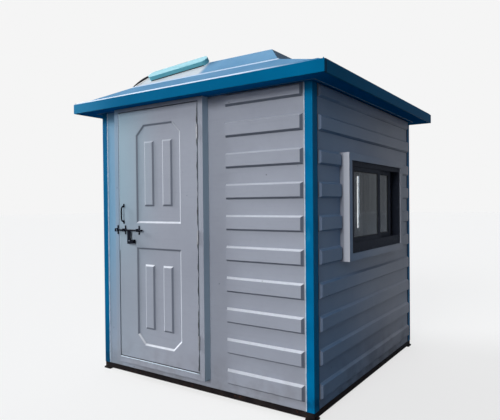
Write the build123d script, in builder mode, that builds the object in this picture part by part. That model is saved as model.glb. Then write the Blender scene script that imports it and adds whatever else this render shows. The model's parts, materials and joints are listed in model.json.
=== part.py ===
import os

from build123d import *

# Moulded glass-fibre cabin on a steel base, in millimetres.
# Origin at ground level under the middle of the plan. The front faces -Y, the window wall +X.

# Plan and heights
cabin_width = 1830
cabin_depth = 1880
foot_height = 12
rail_size = 38
base_height = foot_height + rail_size
wall_height = 1940
wall_top = base_height + wall_height

# Corner posts and wall panels
post_front = 51
post_side = 60
post_edge_radius = 3
wall_thickness = 45
wall_recess = 5
half_width = cabin_width / 2
half_depth = cabin_depth / 2
front_face = half_depth - wall_recess
side_face = half_width - wall_recess
front_run = half_width - post_front
side_run = half_depth - post_side

# Raised ribs of the wall panels
rib_count = 10
rib_pitch = 200.5
first_rib = base_height + 54
rib_height = 100
rib_depth = 20
rib_taper = 31
rib_margin = 14
rib_clearance = 4
front_rib_start = 284
window_rib_gap = 6

# Floor
floor_thickness = 25
joist_spacing = 450
foot_size = 65
foot_overhang = 5
rail_proud = 2

# Door leaf, opening outwards on the right-hand edge
leaf_width = 760
leaf_height = 1802
leaf_thickness = 33
leaf_left = -667
leaf_bottom = 156
door_gap = 6
jamb_width = 40
surround_depth = 55
leaf_setback = 2
stop_gap = 5
stop_width = 15
sill_bottom = 105
leaf_right = leaf_left + leaf_width
leaf_top = leaf_bottom + leaf_height
leaf_middle_x = leaf_left + leaf_width / 2
leaf_middle_z = leaf_bottom + leaf_height / 2
opening_left = leaf_left - door_gap
opening_right = leaf_right + door_gap
surround_left = opening_left - jamb_width
surround_right = opening_right + jamb_width
sill_top = leaf_bottom - door_gap
head_bottom = leaf_top + door_gap
surround_front = -half_depth - surround_depth
surround_back = -front_face + wall_thickness
leaf_front = surround_front + leaf_setback
leaf_back = leaf_front + leaf_thickness
stop_front = leaf_back + stop_gap

# Sunk panels of the door leaf, the same above and below its middle
panel_width = 432
panel_shift = 12
panel_height = 710
panel_start = 87
panel_depth = 10
panel_taper = 42
panel_corner_x = 76
panel_corner_z = 73
bar_width = 84
bar_offset = 88
bar_start = 214
bar_height = 455

# Hinges
hinge_length = 90
hinge_inset = 200
hinge_leaf = 2.5
hinge_leaf_depth = 30
knuckle_radius = 6
pin_radius = 3
pin_clearance = 0.05
pin_head_radius = 5
pin_head_height = 2
knuckle_gap = 0.5
arm_overlap = 1
hinge_axis_x = leaf_right + door_gap / 2
hinge_axis_y = surround_front - knuckle_radius
hinge_levels = [leaf_bottom + hinge_inset, leaf_middle_z, leaf_top - hinge_inset]

# Pull handle
pull_x = -622
pull_low = 1151
pull_high = 1272
pull_reach = 25
pull_rise = 19
pull_run = 12
pull_radius = 5.5
pull_sides = 8
pull_flange_width = 14
pull_flange_length = 28
pull_flange_height = 3

# Sliding bolt, drawn back so that its tip is clear of the keeper
bolt_z = 1093
bolt_radius = 6
bolt_reach = 19
bolt_length = 254
bolt_tip = -670
bolt_axis_y = leaf_front - bolt_reach
loop_width = 14
loop_wall = 4
guide_clearance = 0.8
keeper_clearance = 2
loop_plate = 3
loop_plate_height = 66
guide_positions = [-605, -462]
keeper_x = -684
hasp_left = -567
hasp_width = 30
hasp_bottom = 992
hasp_thickness = 5
hasp_hole_radius = 7
hasp_hole_z = 1014

# Padlock hanging open on the hasp, its shackle resting on the foot of the hasp's hole
shackle_radius = 3
shackle_lift = 0.3
shackle_bend = 8
shackle_leg = 10
padlock_width = 38
padlock_height = 28
padlock_thickness = 24
padlock_corner = 4

# Window: a moulded surround, an aluminium frame and two sashes
window_width = 1100
window_bottom = 900
window_top = 1602
window_reach = 61
window_border = 48
frame_setback = 11
frame_face = 26
frame_sill = 60
frame_depth = 60
sash_width = 535
sash_thickness = 18
sash_stile = 38
front_sash_x = 942
rear_sash_x = 916
rear_sash_start = -178
glass_thickness = 4
track_width = 5
track_height = 9
track_clearance = 1.5

# Roof: a deck on the walls under a moulded cap
roof_overhang = 150
fascia_height = 80
fascia_drop = 5
fascia_skin = 10
fascia_rim = 20
deck_thickness = 12
roof_skin = 10
lip_width = 22
bead_width = 12
groove_depth = 6
rolled_radius = 8
lap_width = 12
lap_height = 6
slope_height = 113
crown_height = 108
crown_width = 1278
crown_depth = 1716
crown_inset = 115
roof_half_width = half_width + roof_overhang
roof_half_depth = half_depth + roof_overhang
fascia_bottom = wall_top - fascia_drop
fascia_top = fascia_bottom + fascia_height
deck_top = wall_top + deck_thickness

# Loose slab lying on the front slope of the crown, measured in the plane of that slope
loose_length = 520
loose_width = 80
loose_thickness = 34
loose_middle_x = -262
loose_up_slope = 122
loose_turn = 10

os.makedirs("parts", exist_ok=True)


def save(part, name):
    part.label = name
    export_step(part, f"parts/{name}.step")


def slab(name, low, high):
    # A plain rectangular piece between two corners
    size = [high[i] - low[i] for i in range(3)]
    with BuildPart() as piece:
        with BuildSketch(Plane.XY.offset(low[2])):
            with Locations(((low[0] + high[0]) / 2, (low[1] + high[1]) / 2)):
                Rectangle(size[0], size[1])
        extrude(amount=size[2])
    save(piece.part, name)


def wall_plane(side):
    # The outside face of a wall, with x to the right and y up as seen from outside
    faces = {
        "front": Plane(origin=(0, -front_face, 0), x_dir=(1, 0, 0), z_dir=(0, -1, 0)),
        "right": Plane(origin=(side_face, 0, 0), x_dir=(0, 1, 0), z_dir=(1, 0, 0)),
        "back": Plane(origin=(0, front_face, 0), x_dir=(-1, 0, 0), z_dir=(0, 1, 0)),
        "left": Plane(origin=(-side_face, 0, 0), x_dir=(0, -1, 0), z_dir=(-1, 0, 0)),
    }
    return faces[side]


def wall_panel(name, side, span, levels, ribs=None):
    # A moulded panel; the ribs that lie wholly or partly between its levels stand out of it
    plane = wall_plane(side)
    with BuildPart() as panel:
        with BuildSketch(plane):
            with Locations(((span[0] + span[1]) / 2, (levels[0] + levels[1]) / 2)):
                Rectangle(span[1] - span[0], levels[1] - levels[0])
        extrude(amount=-wall_thickness)
        if ribs:
            for row in range(rib_count):
                low = first_rib + row * rib_pitch
                high = min(low + rib_height, levels[1] - rib_clearance)
                if low >= levels[0] and high - low > rib_height / 2:
                    with BuildSketch(plane):
                        with Locations(((ribs[0] + ribs[1]) / 2, (low + high) / 2)):
                            Rectangle(ribs[1] - ribs[0], high - low)
                    extrude(amount=rib_depth, taper=rib_taper)
    save(panel.part, name)


# Steel base: four rails, joists and corner feet

rail_edge_x = side_face + rail_proud
rail_edge_y = front_face + rail_proud
rail_inner_y = rail_edge_y - rail_size
rail_inner_x = rail_edge_x - rail_size
slab("base_rail_front", (-rail_edge_x, -rail_edge_y, foot_height), (rail_edge_x, -rail_inner_y, base_height))
slab("base_rail_back", (-rail_edge_x, rail_inner_y, foot_height), (rail_edge_x, rail_edge_y, base_height))
slab("base_rail_left", (-rail_edge_x, -rail_inner_y, foot_height), (-rail_inner_x, rail_inner_y, base_height))
slab("base_rail_right", (rail_inner_x, -rail_inner_y, foot_height), (rail_edge_x, rail_inner_y, base_height))

with BuildPart() as base_joists:
    with BuildSketch(Plane.XY.offset(foot_height)):
        with GridLocations(0, joist_spacing, 1, 3):
            Rectangle(2 * rail_inner_x, rail_size)
    extrude(amount=rail_size)
save(base_joists.part, "base_joists")

foot_x = half_width + foot_overhang - foot_size / 2
foot_y = half_depth + foot_overhang - foot_size / 2
with BuildPart() as corner_feet:
    with BuildSketch():
        with GridLocations(2 * foot_x, 2 * foot_y, 2, 2):
            Rectangle(foot_size, foot_size)
    extrude(amount=foot_height)
save(corner_feet.part, "corner_feet")

floor_x = front_run
floor_y = front_face - wall_thickness
slab("floor_panel", (-floor_x, -floor_y, base_height), (floor_x, floor_y, base_height + floor_thickness))

# Corner posts, with the outside edge eased

for across, x_sign in (("left", -1), ("right", 1)):
    for along, y_sign in (("front", -1), ("back", 1)):
        corner = (x_sign * half_width, y_sign * half_depth, base_height)
        with BuildPart() as post:
            with BuildSketch(Plane.XY.offset(base_height)):
                with Locations((x_sign * (half_width - post_front / 2), y_sign * (half_depth - post_side / 2))):
                    Rectangle(post_front, post_side)
                fillet(vertices().sort_by_distance(corner)[0], radius=post_edge_radius)
            extrude(amount=wall_height)
        save(post.part, f"corner_post_{along}_{across}")

# Walls

full_height = (base_height, wall_top)
window_half = window_width / 2
front_ribs = (front_rib_start, front_run - rib_margin)
side_ribs = (-side_run + rib_margin, side_run - rib_margin)
near_ribs = (-side_run + rib_margin, -window_half - window_rib_gap)
far_ribs = (window_half + window_rib_gap, side_run - rib_margin)
back_ribs = (-front_run + rib_margin, front_run - rib_margin)

wall_panel("front_wall_left", "front", (-front_run, surround_left), full_height)
wall_panel("front_wall_right", "front", (surround_right, front_run), full_height, front_ribs)
wall_panel("front_wall_under_door", "front", (surround_left, surround_right), (base_height, sill_bottom))
wall_panel("right_wall_front", "right", (-side_run, -window_half), (window_bottom, window_top), near_ribs)
wall_panel("right_wall_back", "right", (window_half, side_run), (window_bottom, window_top), far_ribs)
wall_panel("right_wall_under_window", "right", (-side_run, side_run), (base_height, window_bottom), side_ribs)
wall_panel("right_wall_over_window", "right", (-side_run, side_run), (window_top, wall_top), side_ribs)
wall_panel("back_wall", "back", (-front_run, front_run), full_height, back_ribs)
wall_panel("left_wall", "left", (-side_run, side_run), full_height, side_ribs)

# Door surround: jambs with a stop behind the leaf, a head and a sill


def jamb(name, inner, outer, stop_edge, mortises):
    # Plan section of a jamb, run from the sill's underside to the soffit
    outline = [
        (outer, surround_front),
        (inner, surround_front),
        (inner, stop_front),
        (stop_edge, stop_front),
        (stop_edge, surround_back),
        (outer, surround_back),
    ]
    with BuildPart() as piece:
        with BuildSketch(Plane.XY.offset(sill_bottom)):
            with BuildLine():
                Polyline(*outline, close=True)
            make_face()
        extrude(amount=wall_top - sill_bottom)
        for level in mortises:
            with BuildSketch(Plane.XY.offset(level - hinge_length / 2)):
                with Locations((inner + hinge_leaf / 2, surround_front + hinge_leaf_depth / 2)):
                    Rectangle(hinge_leaf, hinge_leaf_depth)
            extrude(amount=hinge_length, mode=Mode.SUBTRACT)
    save(piece.part, name)


jamb("door_jamb_latch", opening_left, surround_left, opening_left + stop_width, [])
jamb("door_jamb_hinge", opening_right, surround_right, opening_right - stop_width, hinge_levels)


def cross_piece(name, low, high, stop_low, stop_high):
    # A head or sill between the jambs, wider behind the leaf where it forms the stop
    with BuildPart() as piece:
        with BuildSketch(Plane.YZ.offset(opening_left)):
            with Locations(((surround_front + surround_back) / 2, (low + high) / 2)):
                Rectangle(surround_back - surround_front, high - low)
        extrude(amount=opening_right - opening_left)
        with BuildSketch(Plane.YZ.offset(opening_left + stop_width)):
            with Locations(((stop_front + surround_back) / 2, (stop_low + stop_high) / 2)):
                Rectangle(surround_back - stop_front, stop_high - stop_low)
        extrude(amount=opening_right - opening_left - 2 * stop_width)
        with BuildSketch(Plane.XY.offset(low)):
            with Locations((opening_left + stop_width / 2, (stop_front + surround_back) / 2)):
                Rectangle(stop_width, surround_back - stop_front)
            with Locations((opening_right - stop_width / 2, (stop_front + surround_back) / 2)):
                Rectangle(stop_width, surround_back - stop_front)
        extrude(amount=high - low, mode=Mode.SUBTRACT)
    save(piece.part, name)


cross_piece("door_sill", sill_bottom, sill_top, sill_top, sill_top + stop_width)
cross_piece("door_head", head_bottom, wall_top, head_bottom - stop_width, head_bottom)

# Door leaf with sunk panels and upright bars

leaf_plane = Plane(origin=(leaf_middle_x, leaf_front, leaf_middle_z), x_dir=(1, 0, 0), z_dir=(0, -1, 0))
panel_left = panel_shift - panel_width / 2
panel_right = panel_shift + panel_width / 2
panel_top = panel_start + panel_height
panel_outline = [
    (panel_left, panel_start),
    (panel_right, panel_start),
    (panel_right, panel_top - panel_corner_z),
    (panel_right - panel_corner_x, panel_top),
    (panel_left + panel_corner_x, panel_top),
    (panel_left, panel_top - panel_corner_z),
]
with BuildPart() as door_leaf:
    with BuildSketch(leaf_plane):
        Rectangle(leaf_width, leaf_height)
    extrude(amount=-leaf_thickness)
    with BuildSketch(leaf_plane):
        with BuildLine():
            Polyline(*panel_outline, close=True)
        make_face()
        mirror(about=Plane.XZ)
    extrude(amount=-panel_depth, taper=panel_taper, mode=Mode.SUBTRACT)
    with BuildSketch(leaf_plane.offset(-panel_depth)):
        for direction in (1, -1):
            with Locations((panel_shift, direction * (bar_start + bar_height / 2))):
                with GridLocations(2 * bar_offset, 0, 2, 1):
                    Rectangle(bar_width, bar_height)
    extrude(amount=panel_depth, taper=panel_taper)
    for level in hinge_levels:
        with BuildSketch(Plane.XY.offset(level - hinge_length / 2)):
            with Locations((leaf_right - hinge_leaf / 2, leaf_front + hinge_leaf_depth / 2)):
                Rectangle(hinge_leaf, hinge_leaf_depth)
        extrude(amount=hinge_length, mode=Mode.SUBTRACT)
save(door_leaf.part, "door_leaf")

# Butt hinges: two knuckles on the frame's side, one on the door's, a pin through all three

knuckle_length = hinge_length / 3
frame_knuckle = knuckle_length - knuckle_gap


def hinge_plates(name, plate_x, plate_y, arm_x, runs):
    # The flat leaf let into the edge, and rolled knuckles joined to it by short arms
    with BuildPart() as plates:
        for level in hinge_levels:
            with BuildSketch(Plane.XY.offset(level - hinge_length / 2)):
                with Locations((plate_x, plate_y + hinge_leaf_depth / 2)):
                    Rectangle(hinge_leaf, hinge_leaf_depth)
            extrude(amount=hinge_length)
            for start, length in runs:
                with BuildSketch(Plane.XY.offset(level + start)):
                    with Locations((hinge_axis_x, hinge_axis_y)):
                        Circle(knuckle_radius)
                    with Locations((arm_x, (hinge_axis_y + plate_y + arm_overlap) / 2)):
                        Rectangle(hinge_leaf, plate_y + arm_overlap - hinge_axis_y)
                    with Locations((hinge_axis_x, hinge_axis_y)):
                        Circle(pin_radius + pin_clearance, mode=Mode.SUBTRACT)
                extrude(amount=length)
    save(plates.part, name)


outer_runs = [(-hinge_length / 2, frame_knuckle), (knuckle_length / 2 + knuckle_gap, frame_knuckle)]
middle_run = [(-knuckle_length / 2, knuckle_length)]
frame_plate_x = opening_right + hinge_leaf / 2
door_plate_x = leaf_right - hinge_leaf / 2
hinge_plates("hinge_plates_frame", frame_plate_x, surround_front, frame_plate_x, outer_runs)
hinge_plates("hinge_plates_door", door_plate_x, leaf_front, door_plate_x, middle_run)

with BuildPart() as hinge_pins:
    for level in hinge_levels:
        with BuildSketch(Plane.XY.offset(level - hinge_length / 2)):
            with Locations((hinge_axis_x, hinge_axis_y)):
                Circle(pin_radius)
        extrude(amount=hinge_length)
        with BuildSketch(Plane.XY.offset(level + hinge_length / 2)):
            with Locations((hinge_axis_x, hinge_axis_y)):
                Circle(pin_head_radius)
        extrude(amount=pin_head_height)
save(hinge_pins.part, "hinge_pins")

# Pull handle: an eight-sided bar in one smooth bow between two long flanges

pull_middle = (pull_low + pull_high) / 2
with BuildPart() as door_pull:
    with BuildLine(Plane.YZ.offset(pull_x)) as pull_path:
        Spline(
            (leaf_front, pull_low),
            (leaf_front - pull_rise, pull_low + pull_run),
            (leaf_front - pull_reach, pull_middle),
            (leaf_front - pull_rise, pull_high - pull_run),
            (leaf_front, pull_high),
        )
    with BuildSketch(Plane(origin=pull_path.line @ 0, z_dir=pull_path.line % 0)):
        RegularPolygon(pull_radius, pull_sides)
    sweep()
    flange_plane = Plane(origin=(pull_x, leaf_front, 0), x_dir=(1, 0, 0), z_dir=(0, -1, 0))
    with BuildSketch(flange_plane):
        with Locations((0, pull_low), (0, pull_high)):
            SlotOverall(pull_flange_length, pull_flange_width, rotation=90)
    extrude(amount=pull_flange_height)
    with BuildSketch(flange_plane):
        with Locations((0, pull_middle)):
            Rectangle(4 * pull_flange_width, 2 * (pull_high - pull_low))
    extrude(amount=-leaf_thickness, mode=Mode.SUBTRACT)
save(door_pull.part, "door_pull")

# Sliding bolt with its hanging hasp, the two straps that guide it and the keeper strap

with BuildPart() as door_bolt:
    with BuildSketch(Plane.YZ.offset(bolt_tip)):
        with Locations((bolt_axis_y, bolt_z)):
            Circle(bolt_radius)
    extrude(amount=bolt_length)
    hasp_plane = Plane(origin=(hasp_left + hasp_width / 2, bolt_axis_y, 0), x_dir=(1, 0, 0), z_dir=(0, -1, 0))
    with BuildSketch(hasp_plane):
        with Locations((0, (bolt_z + hasp_bottom) / 2)):
            Rectangle(hasp_width, bolt_z - hasp_bottom)
        with Locations((0, hasp_hole_z)):
            Circle(hasp_hole_radius, mode=Mode.SUBTRACT)
    extrude(amount=hasp_thickness / 2, both=True)
save(door_bolt.part, "door_bolt")

shackle_z = hasp_hole_z - hasp_hole_radius + shackle_radius + shackle_lift
bend_x = hasp_left + hasp_width / 2 + shackle_bend
padlock_left = bend_x + shackle_leg
with BuildPart() as padlock:
    with BuildLine(Plane.XY.offset(shackle_z)) as shackle_path:
        Line((padlock_left, bolt_axis_y - shackle_bend), (bend_x, bolt_axis_y - shackle_bend))
        ThreePointArc(
            (bend_x, bolt_axis_y - shackle_bend),
            (bend_x - shackle_bend, bolt_axis_y),
            (bend_x, bolt_axis_y + shackle_bend),
        )
        Line((bend_x, bolt_axis_y + shackle_bend), (padlock_left, bolt_axis_y + shackle_bend))
    with BuildSketch(Plane(origin=shackle_path.line @ 0, z_dir=shackle_path.line % 0)):
        Circle(shackle_radius)
    sweep()
    with BuildSketch(Plane.XZ.offset(-bolt_axis_y)):
        with Locations((padlock_left + padlock_width / 2, shackle_z)):
            RectangleRounded(padlock_width, padlock_height, padlock_corner)
    extrude(amount=padlock_thickness / 2, both=True)
save(padlock.part, "padlock")


def rod_straps(name, positions, base_y, clearance):
    # A flat plate on the surface with a squared strap that the rod passes through
    bore = bolt_radius + clearance
    shell = bore + loop_wall
    with BuildPart() as straps:
        for x in positions:
            with BuildSketch(Plane.YZ.offset(x - loop_width / 2)):
                with Locations((base_y - loop_plate / 2, bolt_z)):
                    Rectangle(loop_plate, loop_plate_height)
                with Locations(((bolt_axis_y - shell + base_y) / 2, bolt_z)):
                    Rectangle(base_y - bolt_axis_y + shell, 2 * shell)
                with Locations((bolt_axis_y, bolt_z)):
                    Rectangle(2 * bore, 2 * bore, mode=Mode.SUBTRACT)
            extrude(amount=loop_width)
    save(straps.part, name)


rod_straps("bolt_guides", guide_positions, leaf_front, guide_clearance)
rod_straps("bolt_keeper", [keeper_x], surround_front, keeper_clearance)

# Window


def frame_ring(x_low, depth, outer, border, sill):
    # A rectangular ring standing in the window wall; outer is (y_low, y_high, z_low, z_high)
    with BuildPart() as ring:
        with BuildSketch(Plane.YZ.offset(x_low)):
            with Locations(((outer[0] + outer[1]) / 2, (outer[2] + outer[3]) / 2)):
                Rectangle(outer[1] - outer[0], outer[3] - outer[2])
            with Locations(((outer[0] + outer[1]) / 2, (outer[2] + sill + outer[3] - border) / 2)):
                Rectangle(outer[1] - outer[0] - 2 * border, outer[3] - outer[2] - border - sill, mode=Mode.SUBTRACT)
        extrude(amount=depth)
    return ring.part


surround_face_x = half_width + window_reach
surround_outer = (-window_half, window_half, window_bottom, window_top)
inner_half = window_half - window_border
frame_outer = (-inner_half, inner_half, window_bottom + window_border, window_top - window_border)
wall_inner_x = side_face - wall_thickness
surround_depth_x = surround_face_x - wall_inner_x
window_surround = frame_ring(wall_inner_x, surround_depth_x, surround_outer, window_border, window_border)
save(window_surround, "window_surround")

# The frame carries two tracks at its foot and head: one between the sashes and one in front of them
frame_x = surround_face_x - frame_setback - frame_depth
sash_low = window_bottom + window_border + frame_sill
sash_high = window_top - window_border - frame_face
track_positions = [rear_sash_x + sash_thickness + track_clearance, front_sash_x + sash_thickness]
with BuildPart() as window_frame:
    add(frame_ring(frame_x, frame_depth, frame_outer, frame_face, frame_sill))
    for track_x in track_positions:
        with BuildSketch(Plane.YZ.offset(track_x)):
            with Locations((0, sash_low + track_height / 2), (0, sash_high - track_height / 2)):
                Rectangle(2 * (inner_half - frame_face), track_height)
        extrude(amount=track_width)
save(window_frame.part, "window_frame")

front_sash_start = -inner_half + frame_face
for name, x_low, start in (("front", front_sash_x, front_sash_start), ("rear", rear_sash_x, rear_sash_start)):
    sash = (start, start + sash_width, sash_low, sash_high)
    save(frame_ring(x_low, sash_thickness, sash, sash_stile, sash_stile), f"window_sash_{name}")
    glass_x = x_low + (sash_thickness - glass_thickness) / 2
    low = (glass_x, start + sash_stile, sash_low + sash_stile)
    high = (glass_x + glass_thickness, start + sash_width - sash_stile, sash_high - sash_stile)
    slab(f"window_glass_{name}", low, high)

# Roof deck, which is both the soffit and the ceiling

deck_half_width = roof_half_width - fascia_skin
deck_half_depth = roof_half_depth - fascia_skin
slab("roof_deck", (-deck_half_width, -deck_half_depth, wall_top), (deck_half_width, deck_half_depth, deck_top))

# Roof cap: a fascia with a rolled top edge, a low hipped slope and a raised crown lapped over it

slope_top = fascia_top + slope_height
crown_top = slope_top + crown_height


def outer_section(eaves, crown):
    # Half of the outer section, from the fascia's foot up to the top of the crown
    return [
        (0, fascia_bottom),
        (eaves, fascia_bottom),
        (eaves, fascia_top - rolled_radius),
        (eaves - rolled_radius, fascia_top),
        (eaves - bead_width, fascia_top),
        (eaves - bead_width, fascia_top - groove_depth),
        (eaves - lip_width, fascia_top - groove_depth),
        (crown + lap_width, slope_top - lap_height),
        (crown + lap_width, slope_top),
        (crown, slope_top),
        (crown - crown_inset, crown_top),
        (0, crown_top),
    ]


def inner_section(eaves, crown):
    # Half of the hollow's section, which starts on the deck
    return [
        (0, deck_top),
        (eaves - fascia_rim, deck_top),
        (eaves - fascia_rim, fascia_top - groove_depth - roof_skin),
        (eaves - lip_width - roof_skin, fascia_top - groove_depth - roof_skin),
        (crown - roof_skin, slope_top - roof_skin),
        (crown - crown_inset - roof_skin, crown_top - roof_skin),
        (0, crown_top - roof_skin),
    ]


def section_line(points, rolled):
    # The closed outline of half a section, with an arc from the point numbered rolled to the next
    with BuildLine(mode=Mode.PRIVATE) as outline:
        if rolled:
            Polyline(*points[: rolled + 1])
            RadiusArc(points[rolled], points[rolled + 1], rolled_radius)
            Polyline(*points[rolled + 1 :], points[0])
        else:
            Polyline(*points, close=True)
    return outline.edges()


def roof_form(section, rolled=None):
    # The same section runs across the width and along the depth, and the form is where the two runs meet
    with BuildPart() as form:
        with BuildSketch(Plane.XZ.offset(-roof_half_depth)):
            make_face(section_line(section(roof_half_width, crown_width / 2), rolled))
            mirror(about=Plane.YZ)
        extrude(amount=2 * roof_half_depth)
        with BuildSketch(Plane.YZ.offset(-roof_half_width)):
            make_face(section_line(section(roof_half_depth, crown_depth / 2), rolled))
            mirror(about=Plane.YZ)
        extrude(amount=2 * roof_half_width, mode=Mode.INTERSECT)
    return form.part


roof_outside = roof_form(outer_section, rolled=2)
roof_inside = roof_form(inner_section)
with BuildPart() as roof_cap:
    add(roof_outside)
    # The deck fits inside the fascia, and the rim above it rests on the deck's edge
    with BuildSketch(Plane.XY.offset(fascia_bottom)):
        Rectangle(2 * deck_half_width, 2 * deck_half_depth)
    extrude(amount=deck_top - fascia_bottom, mode=Mode.SUBTRACT)
    add(roof_inside, mode=Mode.SUBTRACT)
save(roof_cap.part, "roof_cap")

# Loose slab with rounded ends, turned a little so that its right end lies higher

crown_front = Plane(
    origin=(0, -crown_depth / 2, slope_top),
    x_dir=(1, 0, 0),
    z_dir=(0, -crown_height, crown_inset),
)
with BuildPart() as roof_loose_slab:
    with BuildSketch(crown_front):
        with Locations((loose_middle_x, loose_up_slope)):
            SlotOverall(loose_length, loose_width, rotation=loose_turn)
    extrude(amount=loose_thickness)
save(roof_loose_slab.part, "roof_loose_slab")
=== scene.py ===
import json
import math

import bpy
import numpy as np
from mathutils import Matrix, Vector


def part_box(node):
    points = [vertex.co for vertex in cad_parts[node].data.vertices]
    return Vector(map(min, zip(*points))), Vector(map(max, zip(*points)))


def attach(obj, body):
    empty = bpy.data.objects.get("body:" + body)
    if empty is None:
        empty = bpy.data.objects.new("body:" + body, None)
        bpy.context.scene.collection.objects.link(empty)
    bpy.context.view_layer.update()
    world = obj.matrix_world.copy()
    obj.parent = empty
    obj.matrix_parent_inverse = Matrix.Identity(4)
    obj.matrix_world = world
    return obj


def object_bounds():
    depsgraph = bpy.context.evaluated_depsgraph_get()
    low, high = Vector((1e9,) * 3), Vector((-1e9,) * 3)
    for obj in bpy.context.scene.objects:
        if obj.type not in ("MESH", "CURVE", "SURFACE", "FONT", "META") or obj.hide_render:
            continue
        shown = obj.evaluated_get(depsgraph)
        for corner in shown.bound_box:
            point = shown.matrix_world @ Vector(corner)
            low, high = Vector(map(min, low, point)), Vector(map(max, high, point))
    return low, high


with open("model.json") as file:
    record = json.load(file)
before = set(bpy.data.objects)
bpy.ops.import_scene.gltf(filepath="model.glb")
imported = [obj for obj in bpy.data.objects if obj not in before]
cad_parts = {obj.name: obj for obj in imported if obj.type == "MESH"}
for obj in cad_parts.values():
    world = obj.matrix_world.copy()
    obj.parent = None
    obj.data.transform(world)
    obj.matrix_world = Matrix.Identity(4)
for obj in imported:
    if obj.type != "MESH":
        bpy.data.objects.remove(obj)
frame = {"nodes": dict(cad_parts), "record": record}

# Looks of the moulded cabin: finishes, seals, fixings, light and camera. Metres, in the part's own frame.
nodes = frame["nodes"]
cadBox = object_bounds()
print("frame loaded,", len(nodes), "nodes")


def tone(hexCode):
    # linear red, green, blue, 1 of a colour written as six hex digits
    parts = [int(hexCode[i:i + 2], 16) / 255 for i in (0, 2, 4)]
    return tuple(c / 12.92 if c <= 0.04045 else ((c + 0.055) / 1.055) ** 2.4 for c in parts) + (1.0,)


class Wire:
    # an output socket that sums, products and comparisons can be written with
    def __init__(self, maker, socket):
        self.maker = maker
        self.socket = socket

    def maths(self, operation, other):
        return self.maker.add("ShaderNodeMath", {"operation": operation}, {0: self, 1: other})

    def __add__(self, other):
        return self.maths("ADD", other)

    __radd__ = __add__

    def __sub__(self, other):
        return self.maths("SUBTRACT", other)

    def __rsub__(self, other):
        return self.maker.add("ShaderNodeMath", {"operation": "SUBTRACT"}, {0: other, 1: self})

    def __mul__(self, other):
        return self.maths("MULTIPLY", other)

    __rmul__ = __mul__

    def clamped(self):
        return self.maths("MAXIMUM", 0.0).maths("MINIMUM", 1.0)

    def between(self, start, end):
        # 0 at start, 1 at end, smooth in between
        return self.maker.add("ShaderNodeMapRange", {"interpolation_type": "SMOOTHSTEP"},
                              {"Value": self, "From Min": start, "From Max": end})


class NodeMaker:
    # a node tree whose nodes are all added by the same method
    def __init__(self, owner):
        owner.use_nodes = True
        self.tree = owner.node_tree
        self.tree.nodes.clear()

    def add(self, kind, settings=None, sockets=None, out=0):
        node = self.tree.nodes.new(kind)
        for key, value in (settings or {}).items():
            setattr(node, key, value)
        for key, value in (sockets or {}).items():
            if isinstance(value, Wire):
                self.tree.links.new(value.socket, node.inputs[key])
            else:
                node.inputs[key].default_value = value
        return node if out is None else Wire(self, node.outputs[out])

    def mix(self, amount, first, second):
        return self.add("ShaderNodeMix", {"data_type": "RGBA"}, {0: amount, 6: first, 7: second}, out=2)

    def split(self, vector):
        node = self.add("ShaderNodeSeparateXYZ", sockets={0: vector}, out=None)
        return [Wire(self, output) for output in node.outputs]

    def byRay(self, plain, mirrored, seen):
        # seen for camera and transmission rays, mirrored for glossy ones, plain for the rest
        rays = self.add("ShaderNodeLightPath", out=None).outputs
        direct = Wire(self, rays["Is Camera Ray"]).maths("MAXIMUM", Wire(self, rays["Is Transmission Ray"]))
        return self.mix(direct, self.mix(Wire(self, rays["Is Glossy Ray"]), plain, mirrored), seen)


class Finish(NodeMaker):
    # one material, whose patterns follow Object coordinates and the way each face looks
    def __init__(self, name):
        self.material = bpy.data.materials.new(name)
        super().__init__(self.material)
        self.place = self.add("ShaderNodeTexCoord", out="Object")
        self.x, self.y, self.z = self.split(self.place)
        self.faceX, self.faceY, self.faceZ = self.split(self.add("ShaderNodeNewGeometry", out="Normal"))

    def stretched(self, sx, sy, sz):
        return self.add("ShaderNodeVectorMath", {"operation": "MULTIPLY"}, {0: self.place, 1: (sx, sy, sz)})

    def noise(self, scale, detail, where=None):
        return self.add("ShaderNodeTexNoise", {},
                        {"Vector": where or self.place, "Scale": scale, "Detail": detail})

    def spots(self, scale):
        return self.add("ShaderNodeTexVoronoi", {}, {"Vector": self.place, "Scale": scale}, out="Distance")

    def bump(self, height, distance, under=None):
        sockets = {"Height": height, "Distance": distance, "Strength": 1.0}
        if under is not None:
            sockets["Normal"] = under
        return self.add("ShaderNodeBump", {}, sockets)

    def roundedEdges(self, radius):
        return self.add("ShaderNodeBevel", {"samples": 6}, {"Radius": radius})

    def shade(self, sockets):
        shader = self.add("ShaderNodeBsdfPrincipled", {}, sockets)
        self.add("ShaderNodeOutputMaterial", {}, {"Surface": shader}, out=None)
        return self.material


# The grey skin: its tones, how strongly each lies on, and between which places it comes in
gelCoat = {
    "colour": tone("999eab"), "worn": tone("888c99"), "shade": tone("4f7ca6"), "dirt": tone("5f5a52"),
    "speck": tone("3c3b3d"), "highlightAndChalk": tone("d9dde6"), "turned": tone("5c6472"), "nearPostShade": tone("36587c"),
    "jamb": tone("b9d6e6"), "specular": 0.3, "edgeRadius": 0.004,
    "amount": {"mottle": 0.5, "fine": 0.12, "brushed": 0.14, "reflection": 0.75, "turned": 0.75, "nearPostShade": 0.6,
               "surroundEndLight": 0.45, "shade": 0.7, "jamb": 0.6, "splash": 0.3, "pinholes": 0.7},
    "windowWallX": (0.9, 0.91), "proudX": (0.9155, 0.917), "nearPostY": (-0.56, -0.6),
    "shadeY": (0.55, -0.75), "surroundX": (0.932, 0.94), "surroundY": (-0.5, -0.53), "jambX": (0.5, 0.4),
    "ledgeHighlightZ": (1.8, 0.9), "splashZ": (0.06, 0.36),
}
# Painted reflection: a bluish tint towards the front's left end, one for the wall and one for the door
paintedReflectionTints = {
    "wall": {"tone": tone("5a9cc2"), "x": (-0.5, -0.88), "z": (0.1, 1.3)},
    "door": {"tone": tone("8eafc0"), "x": (-0.2, -0.75), "z": (0.6, 1.5)},
}


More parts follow.
